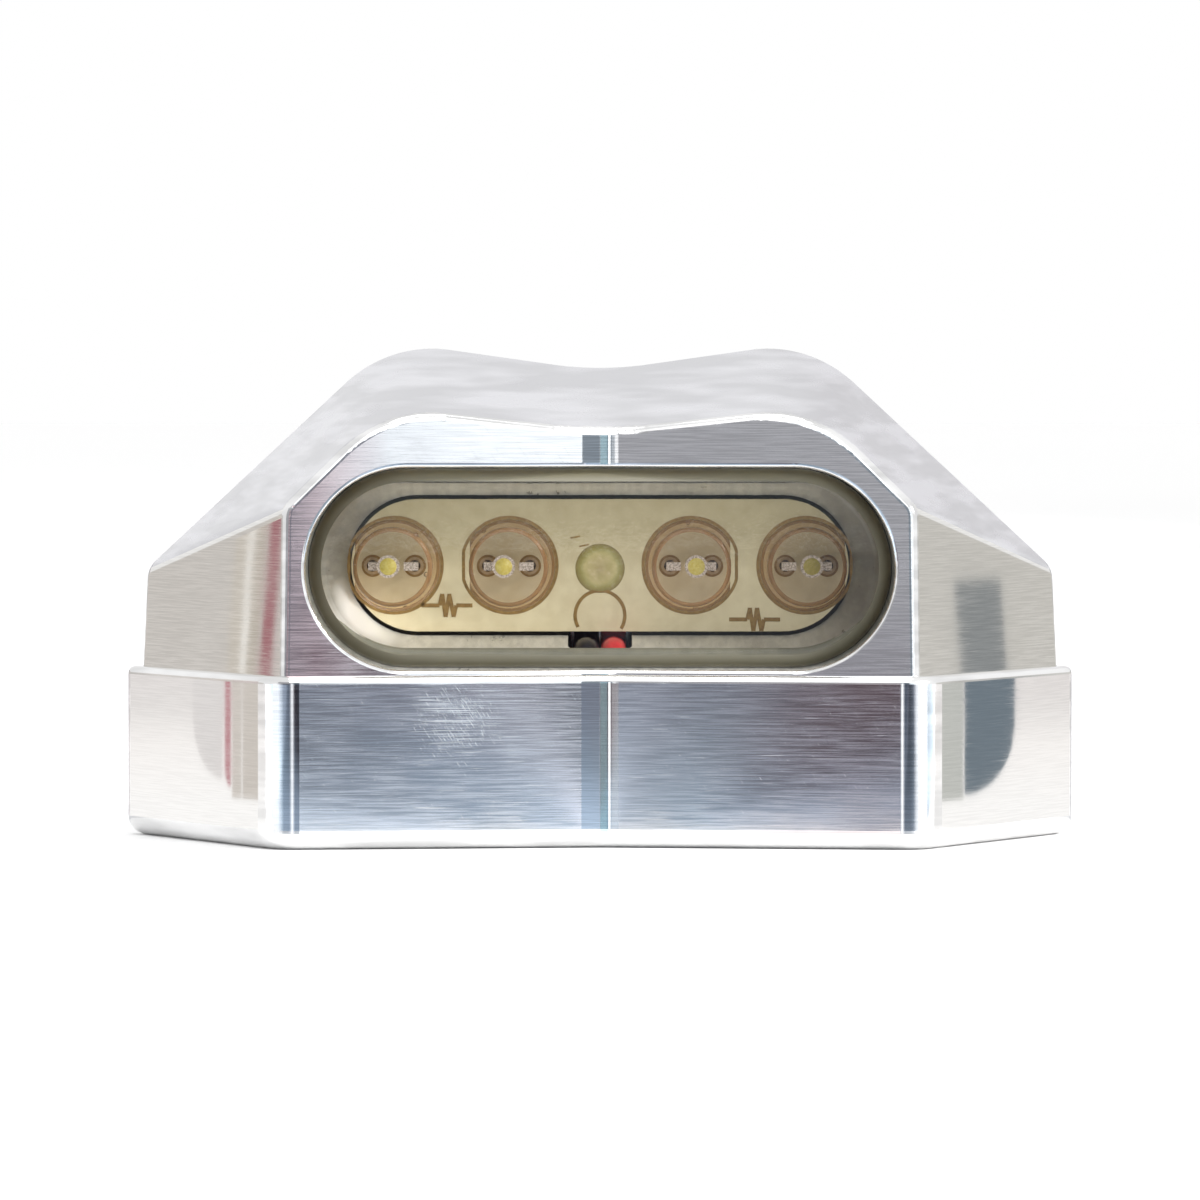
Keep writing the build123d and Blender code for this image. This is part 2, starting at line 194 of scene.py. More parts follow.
# Each finish: its colour, its gloss, the lengths and depth of its grain, the depth of its waves, and
# for the ground ones how one-way their gloss is, how scuffed they are and how dark their lines are
along = (3.4 * mm, 3.4 * mm, 0.075 * mm)
buffed = (9 * mm, 9 * mm, 1.2 * mm)
milled = (0.5 * mm, 6 * mm, 0.5 * mm)
ground_flat = ((0.87, 0.88, 0.9), (0.06, 0.12), along, 0.0005 * mm, 0.006 * mm, 0.8, 0.12, 0.78)
finish_values = {
    "ground_plinth": ((0.9, 0.91, 0.93), (0.07, 0.15), along, 0.0005 * mm, 0.007 * mm, 0.8, 0.2, 0.76),
    "ground_hood": ground_flat,
    "ground_back": ground_flat,
    "polished_crease_painted_light": ((0.88, 0.89, 0.91), (0.02, 0.05), along, 0.0002 * mm, 0.002 * mm, 0.5),
    "polished_corner_painted_light": ((0.88, 0.89, 0.91), (0.05, 0.1), along, 0.0002 * mm, 0.002 * mm, 0.5),
    "ground_side": ((0.82, 0.81, 0.79), (0.05, 0.09), along, 0.0002 * mm, 0.004 * mm, 0.8, 0.08, 0.9),
    "polished_side": ((0.835, 0.83, 0.82), (0.03, 0.06), along, 0.0001 * mm, 0.003 * mm, 0.85, 0.05, 0.94),
    "buffed_roof": ((0.76, 0.76, 0.79), (0.2, 0.3), buffed, 0.0006 * mm, 0.02 * mm),
    "polished_edge": ((0.9, 0.9, 0.9), (0.08, 0.16), buffed, 0.0004 * mm, 0.004 * mm),
    "milled_well": ((0.68, 0.67, 0.63), (0.3, 0.42), milled, 0.0008 * mm, 0.004 * mm),
    # The pocket behind the board's front is painted dark, as shade.
    "pocket_painted_shade": ((0.14, 0.13, 0.09), (0.45, 0.6), milled, 0.001 * mm, 0.004 * mm),
    "milled_base": ((0.74, 0.74, 0.75), (0.25, 0.4), milled, 0.002 * mm, 0.004 * mm),
    "tapped_hole": ((0.6, 0.6, 0.61), (0.3, 0.45), milled, 0.001 * mm, 0.002 * mm),
}
housing_finishes = {finish: aluminium(f"aluminium_{finish}", *values) for finish, values in finish_values.items()}


def tone_with_painted_light(material, half_span, tones, lines=(), axis="X", middle=0.0):
    """Tones a finish across an axis, out to half_span from its middle, and makes it a pale non-metal along lines,
    as painted highlights.
    """
    tree = material.node_tree
    shader = tree.nodes["Principled BSDF"]
    across = add_node(tree, "ShaderNodeSeparateXYZ", {"Vector": place_on(tree)}).outputs[axis]
    share = mapped(tree, across, middle - half_span * mm, middle + half_span * mm)
    shades = [((x / half_span + 1) / 2, colour) for x, colour in tones]
    plain = shader.inputs["Base Color"].links[0].from_socket
    tree.links.new(tinted(tree, plain, ramp(tree, share, shades)), shader.inputs["Base Color"])
    if lines:
        metal = [(0.0, (1.0, 1.0, 1.0))]
        for x, width, bare in lines:
            for edge, left in ((-0.75, 1.0), (-0.5, bare), (0.5, bare), (0.75, 1.0)):
                metal.append((((x + edge * width) / half_span + 1) / 2, (left, left, left)))
        tree.links.new(ramp(tree, share, metal), shader.inputs["Metallic"])


# The fronts are tinted a little pink, the plinth towards one end and the hood towards the other
# The blue and dark tones here are painted reflection and painted shade for the crease and the corners.
bright, painted_blue_reflection, painted_dark_band = (1.0, 1.0, 1.0), (0.74, 0.96, 1.0), (0.45, 0.47, 0.5)
tone_with_painted_light(housing_finishes["ground_plinth"], 22.0, [(6.0, bright), (16.0, (0.97, 0.88, 0.87))])
tone_with_painted_light(housing_finishes["ground_hood"], 22.0, [(-17.5, (0.97, 0.79, 0.8)), (-13.0, bright)])
# A pale line is painted along the crease and along each front corner as a painted highlight, with a painted bluish
# reflection beside the crease line and painted dark bands beside the corner lines
tone_with_painted_light(
    housing_finishes["polished_crease_painted_light"], 2.0,
    [(0.0, bright), (0.04, painted_blue_reflection), (0.46, painted_blue_reflection), (0.5, bright)],
    [(0.22, 0.36, 0.8), (0.58, 0.11, 0.0), (0.94, 0.36, 0.8)],
)
tone_with_painted_light(
    housing_finishes["polished_corner_painted_light"], 22.0,
    [
        (-19.65, bright), (-19.5, painted_dark_band), (-19.03, painted_dark_band), (-19.02, bright), (-18.88, bright), (-18.87, painted_dark_band),
        (-18.46, painted_dark_band), (18.46, painted_dark_band), (18.5, painted_dark_band), (18.51, bright), (18.64, bright), (18.65, painted_dark_band), (19.2, painted_dark_band),
        (19.35, bright),
    ],
    [(-20.35, 1.1, 0.25), (-18.95, 0.08, 0.0), (18.57, 0.08, 0.0), (20.1, 1.1, 0.25)],
)
# The well is only partly metallic; it is painted darker towards both ends as painted shade, and near white in one
# patch low at one end as a painted highlight, which a spot light also catches
tone_with_painted_light(
    housing_finishes["milled_well"], 28.0,
    [
        (-18.0, (0.45, 0.45, 0.42)), (-15.5, (0.55, 0.55, 0.52)), (-12.0, bright), (12.0, bright),
        (16.5, (0.38, 0.38, 0.36)),
    ],
)
well_tree = housing_finishes["milled_well"].node_tree
well_shader = well_tree.nodes["Principled BSDF"]
well_shader.inputs["Metallic"].default_value = 0.35
well_painted_shade = well_shader.inputs["Base Color"].links[0].from_socket
well_painted_highlight = mapped(well_tree, distance_from(well_tree, painted_highlight_spot), 1.8 * mm, 3.6 * mm, 1.0, 0.0)
well_colour = add_node(
    well_tree, "ShaderNodeMix", {0: well_painted_highlight, 6: well_painted_shade, 7: (0.95, 0.95, 0.94, 1.0)}, data_type="RGBA"
)
well_tree.links.new(well_colour.outputs[2], well_shader.inputs["Base Color"])
# The threads in the holes are a band per turn
thread_tree = housing_finishes["tapped_hole"].node_tree
thread_turns = add_node(
    thread_tree, "ShaderNodeTexWave",
    {"Vector": place_on(thread_tree), "Scale": math.pi / (10 * thread_pitch), "Distortion": 0.0},
    wave_type="BANDS", bands_direction="Z", wave_profile="TRI",
)
thread_relief = raised(thread_tree, thread_turns.outputs["Fac"], thread_depth)
thread_tree.links.new(thread_relief, thread_tree.nodes["Principled BSDF"].inputs["Normal"])


def housing_finish(face):
    """Which finish a face of the housing has, from its direction and its place."""
    x, y, z = face.center
    nx, ny, nz = face.normal
    beside = max(0.0, abs(x) - window_half_straight)
    inside = cad_low.y + front_margin < y < cad_high.y - back_margin
    if math.hypot(beside, z - axis_z) < window_radius and inside:
        return "milled_well" if y < board_front - 0.05 * mm else "pocket_painted_shade"
    if nz < -0.99 and z < base_skin:
        return "milled_base"
    if math.hypot(abs(x) - hole_half_spacing, y) < hole_radius and z < plinth_top and abs(nz) < 0.9:
        return "tapped_hole"
    if ny < -0.9 and abs(x) < crease_half and abs(nx) < 0.126 and abs(nz) < 0.2:
        return "polished_crease_painted_light"
    if ny < -0.85 and abs(x) > corner_start and abs(nz) < 0.12 and z < plinth_top:
        return "polished_corner_painted_light"
    if ny > 0.98:
        return "ground_back"
    if ny < -0.98:
        return "ground_hood" if z > plinth_top else "ground_plinth"
    if abs(nx) > 0.862 and ny < -0.47 and abs(nz) < 0.06:
        return "ground_side" if z > plinth_top else "polished_side"
    if nz > 0.4 and -0.4 < ny < 0.05 and z > axis_z:
        return "buffed_roof"
    if abs(nx) > 0.7 and -0.5 < ny < -0.3 and z > axis_z:
        return "ground_side"
    return "polished_edge"


housing = nodes["housing"]
housing.data.materials.clear()
finish_order = list(housing_finishes)
for finish in finish_order:
    housing.data.materials.append(housing_finishes[finish])
for face in housing.data.polygons:
    face.material_index = finish_order.index(housing_finish(face))


# Cable grommet: a soft black rubber plug, moulded with two holes for the wires
# and pushed into the slot in the base.
def dress(names, material):
    """Gives one material to the CAD nodes with these names."""
    for name in names:
        nodes[name].data.materials.clear()
        nodes[name].data.materials.append(material)


def dull(name, dark, light, spots, gloss, depth):
    """A plain solid finish: two shades in spots of the given size, with a faint relief."""
    material, tree, shader = start_material(name)
    mottle = grain(tree, (spots, spots, spots))
    tree.links.new(ramp(tree, mottle, [(0.35, dark), (0.65, light)]), shader.inputs["Base Color"])
    tree.links.new(spread(tree, mottle, *gloss), shader.inputs["Roughness"])
    tree.links.new(raised(tree, mottle, depth), shader.inputs["Normal"])
    return material


grommet_rubber = dull(
    "grommet_rubber", (0.012, 0.012, 0.012), (0.03, 0.03, 0.03), 0.3 * mm, (0.6, 0.8), 0.004 * mm
)
dress(["cable_grommet"], grommet_rubber)


# Wires: two thin stranded leads in soft plastic sleeves, black and red, that come up from the grommet,
# pass under the board and are bared and soldered at its back.
black_sleeve = dull(
    "black_sleeve", (0.006, 0.006, 0.011), (0.014, 0.014, 0.024), 0.4 * mm, (0.3, 0.45), 0.003 * mm
)
red_sleeve = dull("red_sleeve", (0.55, 0.02, 0.026), (0.68, 0.04, 0.045), 0.4 * mm, (0.3, 0.45), 0.003 * mm)
dress(["black_wire_sleeve"], black_sleeve)
dress(["red_wire_sleeve"], red_sleeve)


def bare_metal(name, dark, light, spots, gloss, depth, metallic=1.0):
    """Bare metal that isn't ground: two shades in spots of the given size."""
    material = dull(name, dark, light, spots, gloss, depth)
    material.node_tree.nodes["Principled BSDF"].inputs["Metallic"].default_value = metallic
    return material


wire_copper = bare_metal(
    "wire_copper", (0.55, 0.27, 0.14), (0.8, 0.46, 0.3), 0.1 * mm, (0.25, 0.4), 0.004 * mm
)
dress(["black_wire_core", "red_wire_core"], wire_copper)


# Circuit board: glass fibre laminate under a cream lacquer, cut to the pocket's shape.
# It stands on the pocket's ledge and carries the diodes on its front.
board_laminate = dull(
    "board_laminate", (0.66, 0.565, 0.335), (0.73, 0.64, 0.4), 0.9 * mm, (0.4, 0.55), 0.004 * mm
)
# Painted shade: the board is lighter towards its bottom and darker towards its top, as the window's top wall
# shades it.
tone_with_painted_light(
    board_laminate, 6.0,
    [(-4.5, (1.1, 1.1, 1.15)), (-0.5, (1.08, 1.08, 1.12)), (2.0, (0.83, 0.81, 0.76)), (5.0, (0.75, 0.73, 0.68))],
    axis="Z", middle=axis_z,
)
dress(["circuit_board"], board_laminate)


# Board print: brown ink, screen printed on the lacquer. It rings each diode, marks the two resistors
# and half rings a bare test point at the edge, with a smaller ring round each lead's hole.
print_height = 0.02 * mm
ink_layer = 0.003 * mm
diode_ring_radius, diode_ring_flat, diode_ring_width = 3.0 * mm, 2.86 * mm, 0.2 * mm
leg_offset = 1.27 * mm
leg_ring_radius, leg_ring_width = 0.6 * mm, 0.14 * mm
test_ring_radius, test_ring_z, test_ring_width = 1.56 * mm, 14.1 * mm, 0.22 * mm
sign_places = ((-9.6 * mm, 14.73 * mm), (9.7 * mm, 13.85 * mm))
sign_marks = (
    (-1.6, 0.0), (-0.46, 0.0), (-0.3, 0.72), (-0.08, -0.72), (0.15, 0.72), (0.42, -0.72), (0.58, 0.0), (1.6, 0.0)
)
sign_width = 0.25 * mm
dash_places = ((-1.55 * mm, 1.76 * mm), (-1.0 * mm, 1.24 * mm))
dash_reach, dash_rise, dash_width = 0.3 * mm, 0.06 * mm, 0.1 * mm
brown_ink = dull("brown_ink", (0.24, 0.135, 0.03), (0.34, 0.205, 0.055), 0.25 * mm, (0.4, 0.6), 0.003 * mm)
led_numbers = (1, 2, 3, 4)
led_boxes = {number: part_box(f"led_body_{number}") for number in led_numbers}
led_radius = (led_boxes[1][1].z - led_boxes[1][0].z) / 2


def led_axis(number):
    """The place of a diode's axis along X, and the side that its flat is on."""
    low, high = led_boxes[number]
    out = 1 if low.x + high.x > 0 else -1
    return (low.x + led_radius if out > 0 else high.x - led_radius), out


def finished(shape, name, smooth=False):
    """The mesh of a shape, with its faces turned outwards."""
    bmesh.ops.recalc_face_normals(shape, faces=shape.faces)
    mesh = bpy.data.meshes.new(name)
    shape.to_mesh(mesh)
    shape.free()
    if smooth:
        mesh.shade_smooth()
    return mesh


def new_piece(name, mesh, material):
    """An object of the lamp's own, with its material and body."""
    piece = bpy.data.objects.new(name, mesh)
    bpy.context.scene.collection.objects.link(piece)
    piece.data.materials.append(material)
    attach(piece, "root")
    return piece


def printed_line(shape, points, width, closed, layer=0):
    """Adds a flat printed stroke along points of the board's front, a little higher for each layer of ink."""
    height = print_height + layer * ink_layer
    count = len(points)
    rows = []
    for index, (x, z) in enumerate(points):
        before = points[index - 1] if closed or index else points[index]
        after = points[(index + 1) % count] if closed or index + 1 < count else points[index]
        run = Vector((after[0] - before[0], after[1] - before[1])).normalized()
        off = Vector((-run.y, run.x)) * width / 2
        corners = ((x + off.x, z + off.y), (x - off.x, z - off.y))
        top = [shape.verts.new((cx, board_front - height, cz)) for cx, cz in corners]
        foot = [shape.verts.new((cx, board_front, cz)) for cx, cz in corners]
        rows.append((top[0], top[1], foot[1], foot[0]))
    for index in range(count if closed else count - 1):
        here, there = rows[index], rows[(index + 1) % count]
        for side in range(4):
            nearby = (side + 1) % 4
            shape.faces.new((here[side], here[nearby], there[nearby], there[side]))
    if not closed:
        shape.faces.new(rows[0])
        shape.faces.new(rows[-1][::-1])


def ring_points(x, z, radius, steps=64, flat_at=None, out=1):
    """Points round a circle, cut straight at flat_at on one side."""
    points = []
    for step in range(steps):
        turn = 2 * math.pi * step / steps
        across = radius * math.cos(turn)
        if flat_at is not None:
            across = min(across, flat_at)
        points.append((x + out * across, z + radius * math.sin(turn)))
    return points


def leg_rings(shape, number, radius, width):
    """Adds a ring round each of a diode's two legs."""
    for side in (-1, 1):
        ring = ring_points(led_axis(number)[0] + side * leg_offset, axis_z, radius, 32)
        printed_line(shape, ring, width, True)


ink = bmesh.new()
for number in led_numbers:
    x, out = led_axis(number)
    diode_ring = ring_points(x, axis_z, diode_ring_radius, flat_at=diode_ring_flat, out=out)
    printed_line(ink, diode_ring, diode_ring_width, True)
    leg_rings(ink, number, leg_ring_radius, leg_ring_width)
# A resistor sign is a line that breaks into two teeth up and two down
for x, z in sign_places:
    corners = [(x + across * mm, z + up * mm) for across, up in sign_marks]
    for layer, stroke in enumerate(zip(corners, corners[1:])):
        printed_line(ink, stroke, sign_width, False, layer)
test_turns = [math.radians(degrees) for degrees in range(-32, 213, 6)]
test_ring = [
    (test_ring_radius * math.cos(turn), test_ring_z + test_ring_radius * math.sin(turn)) for turn in test_turns
]
printed_line(ink, test_ring, test_ring_width, False)
for x, z in dash_places:
    stroke = [(x + end * dash_reach, axis_z + z + end * dash_rise) for end in (-1, 1)]
    printed_line(ink, stroke, dash_width, False)
new_piece("board_print", finished(ink, "board_print"), brown_ink)


# Hole lands: a thin ring of tan lacquer round each diode leg, printed on the board
# before the diodes go in. It closes the gap in the leg's hole.
land_radius, land_width = 0.44 * mm, 0.18 * mm
land_lacquer = dull("land_lacquer", (0.42, 0.3, 0.15), (0.52, 0.39, 0.22), 0.2 * mm, (0.3, 0.5), 0.003 * mm)
lands = bmesh.new()
for number in led_numbers:
    leg_rings(lands, number, land_radius, land_width)
new_piece("hole_lands", finished(lands, "hole_lands"), land_lacquer)


# Resin plug: a drop of greenish potting resin that fills the hole in the middle of the board
# and ties the board to the floor of the pocket.
plug_low, plug_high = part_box("board_resin_plug")
plug_z = (plug_low.z + plug_high.z) / 2
plug_radius = 1.55 * mm
plug_resin = dull("plug_resin", (0.56, 0.49, 0.22), (0.67, 0.59, 0.31), 0.5 * mm, (0.15, 0.3), 0.006 * mm)
plug_tree = plug_resin.node_tree
plug_shader = plug_tree.nodes["Principled BSDF"]
plug_offset = add_node(
    plug_tree, "ShaderNodeMapping",
    {"Vector": place_on(plug_tree), "Location": (0, 0, -plug_z), "Scale": (1, 0, 1)},
)
plug_away = add_node(plug_tree, "ShaderNodeVectorMath", {0: plug_offset.outputs["Vector"]}, operation="LENGTH")
# Painted light and shade: the drop is pale in its middle, as light seen through it, and darker towards its rim.
plug_painted_light = ramp(
    plug_tree, mapped(plug_tree, plug_away.outputs["Value"], 0.0, plug_radius),
    [(0.0, (0.86, 0.78, 0.84)), (0.62, (0.95, 0.93, 0.86)), (0.8, (0.62, 0.62, 0.42)), (1.0, (0.42, 0.36, 0.26))],
)
plug_mottle = plug_shader.inputs["Base Color"].links[0].from_socket
plug_tree.links.new(tinted(plug_tree, plug_mottle, plug_painted_light), plug_shader.inputs["Base Color"])
dress(["board_resin_plug"], plug_resin)


# Resistors and solder: two black chip resistors with ceramic bodies, flat on the board's back,
# and the ten bright joints that hold the diodes' legs and the wires there.
resistor_ceramic = dull(
    "resistor_ceramic", (0.01, 0.01, 0.012), (0.03, 0.03, 0.03), 0.2 * mm, (0.35, 0.5), 0.002 * mm
)
dress(["resistor_1", "resistor_2"], resistor_ceramic)
solder = bare_metal("solder", (0.5, 0.5, 0.5), (0.7, 0.7, 0.7), 0.3 * mm, (0.15, 0.3), 0.004 * mm)
dress(["solder_joints"], solder)


# Diodes: a stamped pair of tinned steel legs, the cathode with a cup that holds the chip under a drop
# of yellow phosphor, cast into a clear resin body with a flange and a flat.
tinned_steel = bare_metal(
    "tinned_steel", (0.7, 0.63, 0.54), (0.9, 0.85, 0.78), 0.12 * mm, (0.2, 0.35), 0.003 * mm, metallic=0.4
)
phosphor = dull("phosphor", (0.64, 0.55, 0.1), (0.78, 0.72, 0.23), 0.15 * mm, (0.3, 0.5), 0.004 * mm)
# The fourth diode's phosphor is a darker copy of the same phosphor, as painted shade.
phosphor_painted_shade = dull("phosphor_painted_shade", (0.4, 0.35, 0.07), (0.52, 0.47, 0.13), 0.15 * mm, (0.3, 0.5), 0.004 * mm)
for number in led_numbers:
    dress([f"led_cathode_{number}", f"led_anode_{number}"], tinned_steel)
    dress([f"led_phosphor_{number}"], phosphor_painted_shade if number == 4 else phosphor)


def clear_plastic(name, colour, bend, gloss):
    """Clear plastic, with faint smears in its gloss."""
    material, tree, shader = start_material(name)
    shader.inputs["Base Color"].default_value = (*colour, 1.0)
    shader.inputs["Transmission Weight"].default_value = 1.0
    shader.inputs["IOR"].default_value = bend
    smears = grain(tree, (1.5 * mm, 1.5 * mm, 1.5 * mm))
    tree.links.new(spread(tree, smears, *gloss), shader.inputs["Roughness"])
    tree.links.new(raised(tree, smears, 0.003 * mm), shader.inputs["Normal"])
    return material


def lets_light_in(piece):
    """A clear piece that casts no shadow on what is behind it."""
    piece.visible_shadow = False
    piece.visible_diffuse = False


# Each diode's resin has its own tint; the fourth's is darker, as painted shade.
led_tints_and_painted_shade = {1: (0.63, 0.535, 0.475), 2: (0.56, 0.465, 0.415), 3: (0.6, 0.485, 0.42), 4: (0.52, 0.42, 0.35)}
flange_share = (0.86, 0.65, 0.43)
# The rounded flange edge and the rounded top get a darker brown: painted dark rings that stand in for what the
# resin's curved edges show.
painted_ring_share = (0.46, 0.3, 0.15)
resin_bend = 1.5
body_radius = 2.5 * mm
top_radius = 2.48 * mm
flange_height = 1.0 * mm
flange_edge = 0.35 * mm
body_height = led_boxes[1][1].y - led_boxes[1][0].y
crown_radius = 0.28 * mm
# The levels of the flange's rounded edge that get the painted dark ring.
painted_ring_levels = (1, 2, 3)
turn_steps = 96
seat = 0.01 * mm


def rounded(height, radius, edge, steps):
    """Heights and radii of the rings over a rounded edge that ends at the given height."""
    turns = [math.pi / 2 * step / steps for step in range(1, steps + 1)]
    return [(height - edge * (1 - math.sin(turn)), radius - edge * (1 - math.cos(turn))) for turn in turns]


def led_body_mesh(number):
    """The resin body as one closed skin: rings of points from the board up to the top."""
    x, out = led_axis(number)
    low, high = led_boxes[number]
    flat = min(high.x - x, x - low.x)
    flange = [(-seat, led_radius), (flange_height - flange_edge, led_radius)]
    flange += rounded(flange_height, led_radius, flange_edge, 4) + [(flange_height, body_radius)]
    top = [(body_height - crown_radius, top_radius)] + rounded(body_height, top_radius, crown_radius, 8)
    shape = bmesh.new()
    loops = []
    for height, radius in flange + top:
        points = ring_points(x, axis_z, radius, turn_steps, min(flat, radius), out)
        loops.append([shape.verts.new((px, board_front - height, pz)) for px, pz in points])
    for level, (lower, upper) in enumerate(zip(loops, loops[1:])):
        for index in range(turn_steps):
            after = (index + 1) % turn_steps
            face = shape.faces.new((lower[index], lower[after], upper[after], upper[index]))
            face.material_index = 2 if level in painted_ring_levels or level >= len(flange) else 1
    shape.faces.new(loops[0])
    shape.faces.new(loops[-1])
    mesh = finished(shape, f"led_resin_{number}", smooth=True)
    mesh.set_sharp_from_angle(angle=math.radians(40))
    return mesh


for number in led_numbers:
    tint = led_tints_and_painted_shade[number]
    flange_tint = [channel * share for channel, share in zip(tint, flange_share)]
    painted_ring_tint = [channel * share for channel, share in zip(tint, painted_ring_share)]
    led_resin = clear_plastic(f"led_resin_{number}", tint, resin_bend, (0.0, 0.03))
    body = new_piece(f"led_resin_{number}", led_body_mesh(number), led_resin)
    body.data.materials.append(clear_plastic(f"led_flange_{number}", flange_tint, resin_bend, (0.02, 0.08)))
    crown = clear_plastic(f"led_painted_ring_{number}", painted_ring_tint, resin_bend, (0.0, 0.06))
    crown_shader = crown.node_tree.nodes["Principled BSDF"]
    crown_shader.inputs["Transmission Weight"].default_value = 0.4
    crown_shader.inputs["Specular IOR Level"].default_value = 0.3
    body.data.materials.append(crown)
    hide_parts(f"led_body_{number}")
    lets_light_in(body)


# Resin nibs: small drops of the diodes' own clear resin, on their flanges and tops.
# They were left there by the mould when the bodies were cast.
nib_places = [(1, 0.72, -2.66), (1, 1.45, 2.0), (1, 2.1, -0.45), (3, 0.3, -2.62), (3, -0.2, 2.72), (2, -1.6, 2.2)]
nib_radius = 0.17 * mm
nib_sunk = 0.06 * mm
nib_top_sunk = 0.02 * mm
nibs = bmesh.new()
for number, across, up in nib_places:
    height = flange_height if math.hypot(across, up) * mm > body_radius else body_height - nib_top_sunk
    place = (led_axis(number)[0] + across * mm, board_front - height + nib_sunk, axis_z + up * mm)
    nib = bmesh.ops.create_uvsphere(nibs, u_segments=16, v_segments=10, radius=nib_radius)
    bmesh.ops.translate(nibs, verts=nib["verts"], vec=place)
nib_resin = clear_plastic("nib_resin", (0.86, 0.76, 0.66), resin_bend, (0.0, 0.03))
lets_light_in(new_piece("resin_nibs", finished(nibs, "resin_nibs", smooth=True), nib_resin))


# Lens seal: a ring of olive bonding compound, laid on the shoulder of the window before the lens goes in.
# Some of it is squeezed out behind the lens as a bead, and that has sunk to the bottom.
seal_compound = dull(
    "seal_compound", (0.135, 0.125, 0.082), (0.175, 0.163, 0.112), 0.8 * mm, (0.3, 0.45), 0.006 * mm
)
dress(["lens_seal"], seal_compound)
seal_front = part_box("lens_seal")[0].y
seal_width = 0.7 * mm
seal_inner_radius = (lens_high.z - lens_low.z) / 2 - seal_width
bead_steps = 48
bead_profile = ((-0.05, 0.01), (1.0, 0.01), (0.93, 0.16), (0.55, 0.3), (-0.05, 0.37))


def bead_rows():
    """Rows of points round the seal's inner edge, for a bead that is widest along the bottom."""
    rows = []
    for side in (1, -1):
        for step in range(bead_steps + 1):
            turn = math.pi * step / bead_steps - math.pi / 2
            out_x, out_z = side * math.cos(turn), side * math.sin(turn)
            width = (0.06 + 0.4 * max(0.0, -out_z) ** 1.5) * mm
            row = []
            for share, depth in bead_profile:
                reach = seal_inner_radius - share * width
                x = side * window_half_straight + reach * out_x
                row.append((x, seal_front + depth * mm, axis_z + reach * out_z))
            rows.append(row)
    return rows


bead = bmesh.new()
bead_loops = [[bead.verts.new(point) for point in row] for row in bead_rows()]
for here, there in zip(bead_loops, bead_loops[1:] + bead_loops[:1]):
    for index in range(len(bead_profile)):
        after = (index + 1) % len(bead_profile)
        bead.faces.new((here[index], here[after], there[after], there[index]))
new_piece("seal_bead", finished(bead, "seal_bead", smooth=True), seal_compound)


# Lens: a clear cast acrylic pane with a rounded front edge, bonded into the window.
# Its rounded rim is painted olive in place of the view through it, with painted shade: lighter where it faces
# forward and darker towards one end.
lens_bend = 1.49
lens_plastic = clear_plastic("lens_plastic", (0.985, 0.98, 0.955), lens_bend, (0.0, 0.02))
dress(["lens"], lens_plastic)
lens_rim_painted_light = clear_plastic("lens_rim_painted_light", (0.2, 0.18, 0.12), lens_bend, (0.3, 0.42))
rim_tree = lens_rim_painted_light.node_tree
rim_shader = rim_tree.nodes["Principled BSDF"]
rim_shader.inputs["Transmission Weight"].default_value = 0.3
rim_shader.inputs["Coat Weight"].default_value = 0.2
rim_shader.inputs["Coat Roughness"].default_value = 0.03
rim_facing = add_node(rim_tree, "ShaderNodeTexCoord").outputs["Normal"]
rim_forward = add_node(rim_tree, "ShaderNodeSeparateXYZ", {"Vector": rim_facing}).outputs["Y"]
rim_painted_shade = ramp(
    rim_tree, mapped(rim_tree, rim_forward, 0.0, -1.0),
    [(0.0, (0.12, 0.105, 0.06)), (0.6, (0.16, 0.145, 0.09)), (0.97, (0.26, 0.245, 0.185))],
)
rim_tree.links.new(rim_painted_shade, rim_shader.inputs["Base Color"])
tone_with_painted_light(
    lens_rim_painted_light, 22.0,
    [(-18.5, (0.42, 0.4, 0.35)), (-15.5, (0.6, 0.58, 0.54)), (-10.0, bright), (22.0, bright)],
)
nodes["lens"].data.materials.append(lens_rim_painted_light)
for face in nodes["lens"].data.polygons:
    face.material_index = 1 if -0.97 < face.normal.y < 0.5 else 0
lets_light_in(nodes["lens"])


# Studio: a pale floor, a soft light overhead, a key light from the right, and cards round the lamp.
# The cards show only in what is polished, as flags do in a light tent.
def place_card(name, points, faces, colour, shades):
    """A card of the studio, which the camera doesn't see. One that shades also takes light off the lamp."""
    mesh = bpy.data.meshes.new(name)
    mesh.from_pydata(points, [], faces)
    piece = bpy.data.objects.new(name, mesh)
    bpy.context.scene.collection.objects.link(piece)
    material, tree, _ = start_material(name)
    tree.nodes.clear()
    glow = add_node(tree, "ShaderNodeEmission", {"Color": (*colour, 1.0), "Strength": 1.0})
    end = add_node(tree, "ShaderNodeOutputMaterial")
    tree.links.new(glow.outputs["Emission"], end.inputs["Surface"])
    piece.data.materials.append(material)
    piece.visible_camera = False
    piece.visible_diffuse = shades
    piece.visible_shadow = shades
    return piece


def strip_faces(steps):
    """The faces between pairs of points along a strip."""
    return [(2 * step, 2 * step + 1, 2 * step + 3, 2 * step + 2) for step in range(steps)]


def card(name, distance, azimuths, elevations, colour):
    """A curved card round the lamp. Azimuth 0 is towards the camera, and 90 towards +X."""
    steps = 12
    points = []
    for step in range(steps + 1):
        turn = math.radians(azimuths[0] + (azimuths[1] - azimuths[0]) * step / steps)
        for rise in elevations:
            tilt = math.radians(rise)
            flat = distance * math.cos(tilt)
            points.append((flat * math.sin(turn), -flat * math.cos(turn), axis_z + distance * math.sin(tilt)))
    place_card(name, points, strip_faces(steps), colour, True)


